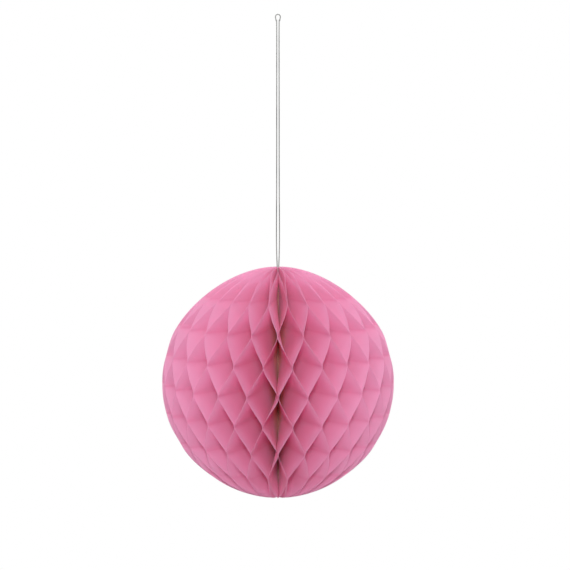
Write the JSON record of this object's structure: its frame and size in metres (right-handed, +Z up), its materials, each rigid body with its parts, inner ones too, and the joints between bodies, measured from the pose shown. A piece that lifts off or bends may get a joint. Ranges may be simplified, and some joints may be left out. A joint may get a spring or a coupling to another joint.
{
  "type": "hanging paper honeycomb ball",
  "caption": "Round honeycomb ball of glued half-round tissue leaves round an upright spine, with card covers back to back and a doubled cord loop to hang it by.",
  "frame": {"origin": "the hanging point, at the top of the cord loop, on the ball's vertical axis", "axes": "+Z up along the cord and the spine; the ball's front faces -Y and the seam between its covers is at +Y; +X is to the right seen from the front"},
  "size_m": [0.2032, 0.2032, 0.423],
  "materials": {
    "pink_tissue": "matt tissue with a faint sheen, translucent",
    "pink_card": "matt coated card",
    "spine_glue": "paper edges soaked in dried brown glue",
    "white_nylon": "glossy twisted nylon",
    "clear_adhesive": "clear double-sided adhesive"
  },
  "bodies": {
    "loop_top": {"cord_loop_bend": "white_nylon"},
    "cord": {"cord_strand_left": "white_nylon", "cord_strand_right": "white_nylon"},
    "knot": {"cord_knot": "white_nylon"},
    "core": {"spine_binding": "spine_glue", "cover_left": "pink_card", "seam_tab_top": "clear_adhesive", "seam_tab_middle": "clear_adhesive", "seam_tab_bottom": "clear_adhesive"},
    "leaf_01": {"tissue_leaf_01": "pink_tissue"},
    "leaf_02": {"tissue_leaf_02": "pink_tissue"},
    "leaf_03": {"tissue_leaf_03": "pink_tissue"},
    "leaf_04": {"tissue_leaf_04": "pink_tissue"},
    "leaf_05": {"tissue_leaf_05": "pink_tissue"},
    "leaf_06": {"tissue_leaf_06": "pink_tissue"},
    "leaf_07": {"tissue_leaf_07": "pink_tissue"},
    "leaf_08": {"tissue_leaf_08": "pink_tissue"},
    "leaf_09": {"tissue_leaf_09": "pink_tissue"},
    "leaf_10": {"tissue_leaf_10": "pink_tissue"},
    "leaf_11": {"tissue_leaf_11": "pink_tissue"},
    "leaf_12": {"tissue_leaf_12": "pink_tissue"},
    "leaf_13": {"tissue_leaf_13": "pink_tissue"},
    "leaf_14": {"tissue_leaf_14": "pink_tissue"},
    "leaf_15": {"tissue_leaf_15": "pink_tissue"},
    "leaf_16": {"tissue_leaf_16": "pink_tissue"},
    "leaf_17": {"tissue_leaf_17": "pink_tissue"},
    "leaf_18": {"tissue_leaf_18": "pink_tissue"},
    "leaf_19": {"tissue_leaf_19": "pink_tissue"},
    "leaf_20": {"tissue_leaf_20": "pink_tissue"},
    "leaf_21": {"tissue_leaf_21": "pink_tissue"},
    "leaf_22": {"tissue_leaf_22": "pink_tissue"},
    "leaf_23": {"tissue_leaf_23": "pink_tissue"},
    "leaf_24": {"tissue_leaf_24": "pink_tissue"},
    "leaf_25": {"tissue_leaf_25": "pink_tissue"},
    "leaf_26": {"tissue_leaf_26": "pink_tissue"},
    "leaf_27": {"tissue_leaf_27": "pink_tissue"},
    "leaf_28": {"tissue_leaf_28": "pink_tissue"},
    "leaf_29": {"tissue_leaf_29": "pink_tissue"},
    "leaf_30": {"tissue_leaf_30": "pink_tissue"},
    "leaf_31": {"tissue_leaf_31": "pink_tissue"},
    "leaf_32": {"tissue_leaf_32": "pink_tissue"},
    "leaf_33": {"tissue_leaf_33": "pink_tissue"},
    "leaf_34": {"tissue_leaf_34": "pink_tissue"},
    "leaf_35": {"tissue_leaf_35": "pink_tissue"},
    "leaf_36": {"tissue_leaf_36": "pink_tissue"},
    "leaf_37": {"tissue_leaf_37": "pink_tissue"},
    "leaf_38": {"tissue_leaf_38": "pink_tissue"},
    "leaf_39": {"tissue_leaf_39": "pink_tissue"},
    "leaf_40": {"tissue_leaf_40": "pink_tissue"},
    "leaf_41": {"tissue_leaf_41": "pink_tissue"},
    "leaf_42": {"tissue_leaf_42": "pink_tissue"},
    "leaf_43": {"tissue_leaf_43": "pink_tissue"},
    "leaf_44": {"tissue_leaf_44": "pink_tissue"},
    "leaf_45": {"tissue_leaf_45": "pink_tissue"},
    "leaf_46": {"tissue_leaf_46": "pink_tissue"},
    "leaf_47": {"tissue_leaf_47": "pink_tissue"},
    "leaf_48": {"tissue_leaf_48": "pink_tissue", "cover_right": "pink_card"}
  },
  "joints": [
    {"name": "cord_swing", "type": "hinge", "parent": "loop_top", "child": "cord", "pos_m": [0, 0, 0], "axis": [1, 0, 0], "range_deg": [-30, 30]},
    {"name": "ball_turn", "type": "hinge", "parent": "cord", "child": "knot", "pos_m": [0, 0, -0.224], "axis": [0, 0, 1], "continuous": true},
    {"name": "ball_tilt", "type": "hinge", "parent": "knot", "child": "core", "pos_m": [0, 0, -0.224], "axis": [1, 0, 0], "range_deg": [-20, 20]},
    {"name": "fan_fold", "type": "hinge", "parent": "core", "child": "leaf_01", "pos_m": [0, 0, -0.3216], "axis": [0, 0, 1], "range_deg": [-7.2, 0], "deforming": ["tissue_leaf_01"]},
    {"name": "fan_fold_02", "type": "hinge", "parent": "leaf_01", "child": "leaf_02", "pos_m": [0, 0, -0.3216], "axis": [0, 0, 1], "range_deg": [-7.2, 0], "deforming": ["tissue_leaf_02"]},
    {"name": "fan_fold_03", "type": "hinge", "parent": "leaf_02", "child": "leaf_03", "pos_m": [0, 0, -0.3216], "axis": [0, 0, 1], "range_deg": [-7.2, 0], "deforming": ["tissue_leaf_03"]},
    {"name": "fan_fold_04", "type": "hinge", "parent": "leaf_03", "child": "leaf_04", "pos_m": [0, 0, -0.3216], "axis": [0, 0, 1], "range_deg": [-7.2, 0], "deforming": ["tissue_leaf_04"]},
    {"name": "fan_fold_05", "type": "hinge", "parent": "leaf_04", "child": "leaf_05", "pos_m": [0, 0, -0.3216], "axis": [0, 0, 1], "range_deg": [-7.2, 0], "deforming": ["tissue_leaf_05"]},
    {"name": "fan_fold_06", "type": "hinge", "parent": "leaf_05", "child": "leaf_06", "pos_m": [0, 0, -0.3216], "axis": [0, 0, 1], "range_deg": [-7.2, 0], "deforming": ["tissue_leaf_06"]},
    {"name": "fan_fold_07", "type": "hinge", "parent": "leaf_06", "child": "leaf_07", "pos_m": [0, 0, -0.3216], "axis": [0, 0, 1], "range_deg": [-7.2, 0], "deforming": ["tissue_leaf_07"]},
    {"name": "fan_fold_08", "type": "hinge", "parent": "leaf_07", "child": "leaf_08", "pos_m": [0, 0, -0.3216], "axis": [0, 0, 1], "range_deg": [-7.2, 0], "deforming": ["tissue_leaf_08"]},
    {"name": "fan_fold_09", "type": "hinge", "parent": "leaf_08", "child": "leaf_09", "pos_m": [0, 0, -0.3216], "axis": [0, 0, 1], "range_deg": [-7.2, 0], "deforming": ["tissue_leaf_09"]},
    {"name": "fan_fold_10", "type": "hinge", "parent": "leaf_09", "child": "leaf_10", "pos_m": [0, 0, -0.3216], "axis": [0, 0, 1], "range_deg": [-7.2, 0], "deforming": ["tissue_leaf_10"]},
    {"name": "fan_fold_11", "type": "hinge", "parent": "leaf_10", "child": "leaf_11", "pos_m": [0, 0, -0.3216], "axis": [0, 0, 1], "range_deg": [-7.2, 0], "deforming": ["tissue_leaf_11"]},
    {"name": "fan_fold_12", "type": "hinge", "parent": "leaf_11", "child": "leaf_12", "pos_m": [0, 0, -0.3216], "axis": [0, 0, 1], "range_deg": [-7.2, 0], "deforming": ["tissue_leaf_12"]},
    {"name": "fan_fold_13", "type": "hinge", "parent": "leaf_12", "child": "leaf_13", "pos_m": [0, 0, -0.3216], "axis": [0, 0, 1], "range_deg": [-7.2, 0], "deforming": ["tissue_leaf_13"]},
    {"name": "fan_fold_14", "type": "hinge", "parent": "leaf_13", "child": "leaf_14", "pos_m": [0, 0, -0.3216], "axis": [0, 0, 1], "range_deg": [-7.2, 0], "deforming": ["tissue_leaf_14"]},
    {"name": "fan_fold_15", "type": "hinge", "parent": "leaf_14", "child": "leaf_15", "pos_m": [0, 0, -0.3216], "axis": [0, 0, 1], "range_deg": [-7.2, 0], "deforming": ["tissue_leaf_15"]},
    {"name": "fan_fold_16", "type": "hinge", "parent": "leaf_15", "child": "leaf_16", "pos_m": [0, 0, -0.3216], "axis": [0, 0, 1], "range_deg": [-7.2, 0], "deforming": ["tissue_leaf_16"]},
    {"name": "fan_fold_17", "type": "hinge", "parent": "leaf_16", "child": "leaf_17", "pos_m": [0, 0, -0.3216], "axis": [0, 0, 1], "range_deg": [-7.2, 0], "deforming": ["tissue_leaf_17"]},
    {"name": "fan_fold_18", "type": "hinge", "parent": "leaf_17", "child": "leaf_18", "pos_m": [0, 0, -0.3216], "axis": [0, 0, 1], "range_deg": [-7.2, 0], "deforming": ["tissue_leaf_18"]},
    {"name": "fan_fold_19", "type": "hinge", "parent": "leaf_18", "child": "leaf_19", "pos_m": [0, 0, -0.3216], "axis": [0, 0, 1], "range_deg": [-7.2, 0], "deforming": ["tissue_leaf_19"]},
    {"name": "fan_fold_20", "type": "hinge", "parent": "leaf_19", "child": "leaf_20", "pos_m": [0, 0, -0.3216], "axis": [0, 0, 1], "range_deg": [-7.2, 0], "deforming": ["tissue_leaf_20"]},
    {"name": "fan_fold_21", "type": "hinge", "parent": "leaf_20", "child": "leaf_21", "pos_m": [0, 0, -0.3216], "axis": [0, 0, 1], "range_deg": [-7.2, 0], "deforming": ["tissue_leaf_21"]},
    {"name": "fan_fold_22", "type": "hinge", "parent": "leaf_21", "child": "leaf_22", "pos_m": [0, 0, -0.3216], "axis": [0, 0, 1], "range_deg": [-7.2, 0], "deforming": ["tissue_leaf_22"]},
    {"name": "fan_fold_23", "type": "hinge", "parent": "leaf_22", "child": "leaf_23", "pos_m": [0, 0, -0.3216], "axis": [0, 0, 1], "range_deg": [-7.2, 0], "deforming": ["tissue_leaf_23"]},
    {"name": "fan_fold_24", "type": "hinge", "parent": "leaf_23", "child": "leaf_24", "pos_m": [0, 0, -0.3216], "axis": [0, 0, 1], "range_deg": [-7.2, 0], "deforming": ["tissue_leaf_24"]},
    {"name": "fan_fold_25", "type": "hinge", "parent": "leaf_24", "child": "leaf_25", "pos_m": [0, 0, -0.3216], "axis": [0, 0, 1], "range_deg": [-7.2, 0], "deforming": ["tissue_leaf_25"]},
    {"name": "fan_fold_26", "type": "hinge", "parent": "leaf_25", "child": "leaf_26", "pos_m": [0, 0, -0.3216], "axis": [0, 0, 1], "range_deg": [-7.2, 0], "deforming": ["tissue_leaf_26"]},
    {"name": "fan_fold_27", "type": "hinge", "parent": "leaf_26", "child": "leaf_27", "pos_m": [0, 0, -0.3216], "axis": [0, 0, 1], "range_deg": [-7.2, 0], "deforming": ["tissue_leaf_27"]},
    {"name": "fan_fold_28", "type": "hinge", "parent": "leaf_27", "child": "leaf_28", "pos_m": [0, 0, -0.3216], "axis": [0, 0, 1], "range_deg": [-7.2, 0], "deforming": ["tissue_leaf_28"]},
    {"name": "fan_fold_29", "type": "hinge", "parent": "leaf_28", "child": "leaf_29", "pos_m": [0, 0, -0.3216], "axis": [0, 0, 1], "range_deg": [-7.2, 0], "deforming": ["tissue_leaf_29"]},
    {"name": "fan_fold_30", "type": "hinge", "parent": "leaf_29", "child": "leaf_30", "pos_m": [0, 0, -0.3216], "axis": [0, 0, 1], "range_deg": [-7.2, 0], "deforming": ["tissue_leaf_30"]},
    {"name": "fan_fold_31", "type": "hinge", "parent": "leaf_30", "child": "leaf_31", "pos_m": [0, 0, -0.3216], "axis": [0, 0, 1], "range_deg": [-7.2, 0], "deforming": ["tissue_leaf_31"]},
    {"name": "fan_fold_32", "type": "hinge", "parent": "leaf_31", "child": "leaf_32", "pos_m": [0, 0, -0.3216], "axis": [0, 0, 1], "range_deg": [-7.2, 0], "deforming": ["tissue_leaf_32"]},
    {"name": "fan_fold_33", "type": "hinge", "parent": "leaf_32", "child": "leaf_33", "pos_m": [0, 0, -0.3216], "axis": [0, 0, 1], "range_deg": [-7.2, 0], "deforming": ["tissue_leaf_33"]},
    {"name": "fan_fold_34", "type": "hinge", "parent": "leaf_33", "child": "leaf_34", "pos_m": [0, 0, -0.3216], "axis": [0, 0, 1], "range_deg": [-7.2, 0], "deforming": ["tissue_leaf_34"]},
    {"name": "fan_fold_35", "type": "hinge", "parent": "leaf_34", "child": "leaf_35", "pos_m": [0, 0, -0.3216], "axis": [0, 0, 1], "range_deg": [-7.2, 0], "deforming": ["tissue_leaf_35"]},
    {"name": "fan_fold_36", "type": "hinge", "parent": "leaf_35", "child": "leaf_36", "pos_m": [0, 0, -0.3216], "axis": [0, 0, 1], "range_deg": [-7.2, 0], "deforming": ["tissue_leaf_36"]},
    {"name": "fan_fold_37", "type": "hinge", "parent": "leaf_36", "child": "leaf_37", "pos_m": [0, 0, -0.3216], "axis": [0, 0, 1], "range_deg": [-7.2, 0], "deforming": ["tissue_leaf_37"]},
    {"name": "fan_fold_38", "type": "hinge", "parent": "leaf_37", "child": "leaf_38", "pos_m": [0, 0, -0.3216], "axis": [0, 0, 1], "range_deg": [-7.2, 0], "deforming": ["tissue_leaf_38"]},
    {"name": "fan_fold_39", "type": "hinge", "parent": "leaf_38", "child": "leaf_39", "pos_m": [0, 0, -0.3216], "axis": [0, 0, 1], "range_deg": [-7.2, 0], "deforming": ["tissue_leaf_39"]},
    {"name": "fan_fold_40", "type": "hinge", "parent": "leaf_39", "child": "leaf_40", "pos_m": [0, 0, -0.3216], "axis": [0, 0, 1], "range_deg": [-7.2, 0], "deforming": ["tissue_leaf_40"]},
    {"name": "fan_fold_41", "type": "hinge", "parent": "leaf_40", "child": "leaf_41", "pos_m": [0, 0, -0.3216], "axis": [0, 0, 1], "range_deg": [-7.2, 0], "deforming": ["tissue_leaf_41"]},
    {"name": "fan_fold_42", "type": "hinge", "parent": "leaf_41", "child": "leaf_42", "pos_m": [0, 0, -0.3216], "axis": [0, 0, 1], "range_deg": [-7.2, 0], "deforming": ["tissue_leaf_42"]},
    {"name": "fan_fold_43", "type": "hinge", "parent": "leaf_42", "child": "leaf_43", "pos_m": [0, 0, -0.3216], "axis": [0, 0, 1], "range_deg": [-7.2, 0], "deforming": ["tissue_leaf_43"]},
    {"name": "fan_fold_44", "type": "hinge", "parent": "leaf_43", "child": "leaf_44", "pos_m": [0, 0, -0.3216], "axis": [0, 0, 1], "range_deg": [-7.2, 0], "deforming": ["tissue_leaf_44"]},
    {"name": "fan_fold_45", "type": "hinge", "parent": "leaf_44", "child": "leaf_45", "pos_m": [0, 0, -0.3216], "axis": [0, 0, 1], "range_deg": [-7.2, 0], "deforming": ["tissue_leaf_45"]},
    {"name": "fan_fold_46", "type": "hinge", "parent": "leaf_45", "child": "leaf_46", "pos_m": [0, 0, -0.3216], "axis": [0, 0, 1], "range_deg": [-7.2, 0], "deforming": ["tissue_leaf_46"]},
    {"name": "fan_fold_47", "type": "hinge", "parent": "leaf_46", "child": "leaf_47", "pos_m": [0, 0, -0.3216], "axis": [0, 0, 1], "range_deg": [-7.2, 0], "deforming": ["tissue_leaf_47"]},
    {"name": "fan_fold_48", "type": "hinge", "parent": "leaf_47", "child": "leaf_48", "pos_m": [0, 0, -0.3216], "axis": [0, 0, 1], "range_deg": [-7.2, 0], "deforming": ["tissue_leaf_48"]}
  ],
  "couplings": [
    {"joint": "fan_fold_02", "follows": "fan_fold", "ratio": 1},
    {"joint": "fan_fold_03", "follows": "fan_fold", "ratio": 1},
    {"joint": "fan_fold_04", "follows": "fan_fold", "ratio": 1},
    {"joint": "fan_fold_05", "follows": "fan_fold", "ratio": 1},
    {"joint": "fan_fold_06", "follows": "fan_fold", "ratio": 1},
    {"joint": "fan_fold_07", "follows": "fan_fold", "ratio": 1},
    {"joint": "fan_fold_08", "follows": "fan_fold", "ratio": 1},
    {"joint": "fan_fold_09", "follows": "fan_fold", "ratio": 1},
    {"joint": "fan_fold_10", "follows": "fan_fold", "ratio": 1},
    {"joint": "fan_fold_11", "follows": "fan_fold", "ratio": 1},
    {"joint": "fan_fold_12", "follows": "fan_fold", "ratio": 1},
    {"joint": "fan_fold_13", "follows": "fan_fold", "ratio": 1},
    {"joint": "fan_fold_14", "follows": "fan_fold", "ratio": 1},
    {"joint": "fan_fold_15", "follows": "fan_fold", "ratio": 1},
    {"joint": "fan_fold_16", "follows": "fan_fold", "ratio": 1},
    {"joint": "fan_fold_17", "follows": "fan_fold", "ratio": 1},
    {"joint": "fan_fold_18", "follows": "fan_fold", "ratio": 1},
    {"joint": "fan_fold_19", "follows": "fan_fold", "ratio": 1},
    {"joint": "fan_fold_20", "follows": "fan_fold", "ratio": 1},
    {"joint": "fan_fold_21", "follows": "fan_fold", "ratio": 1},
    {"joint": "fan_fold_22", "follows": "fan_fold", "ratio": 1},
    {"joint": "fan_fold_23", "follows": "fan_fold", "ratio": 1},
    {"joint": "fan_fold_24", "follows": "fan_fold", "ratio": 1},
    {"joint": "fan_fold_25", "follows": "fan_fold", "ratio": 1},
    {"joint": "fan_fold_26", "follows": "fan_fold", "ratio": 1},
    {"joint": "fan_fold_27", "follows": "fan_fold", "ratio": 1},
    {"joint": "fan_fold_28", "follows": "fan_fold", "ratio": 1},
    {"joint": "fan_fold_29", "follows": "fan_fold", "ratio": 1},
    {"joint": "fan_fold_30", "follows": "fan_fold", "ratio": 1},
    {"joint": "fan_fold_31", "follows": "fan_fold", "ratio": 1},
    {"joint": "fan_fold_32", "follows": "fan_fold", "ratio": 1},
    {"joint": "fan_fold_33", "follows": "fan_fold", "ratio": 1},
    {"joint": "fan_fold_34", "follows": "fan_fold", "ratio": 1},
    {"joint": "fan_fold_35", "follows": "fan_fold", "ratio": 1},
    {"joint": "fan_fold_36", "follows": "fan_fold", "ratio": 1},
    {"joint": "fan_fold_37", "follows": "fan_fold", "ratio": 1},
    {"joint": "fan_fold_38", "follows": "fan_fold", "ratio": 1},
    {"joint": "fan_fold_39", "follows": "fan_fold", "ratio": 1},
    {"joint": "fan_fold_40", "follows": "fan_fold", "ratio": 1},
    {"joint": "fan_fold_41", "follows": "fan_fold", "ratio": 1},
    {"joint": "fan_fold_42", "follows": "fan_fold", "ratio": 1},
    {"joint": "fan_fold_43", "follows": "fan_fold", "ratio": 1},
    {"joint": "fan_fold_44", "follows": "fan_fold", "ratio": 1},
    {"joint": "fan_fold_45", "follows": "fan_fold", "ratio": 1},
    {"joint": "fan_fold_46", "follows": "fan_fold", "ratio": 1},
    {"joint": "fan_fold_47", "follows": "fan_fold", "ratio": 1},
    {"joint": "fan_fold_48", "follows": "fan_fold", "ratio": 1}
  ]
}
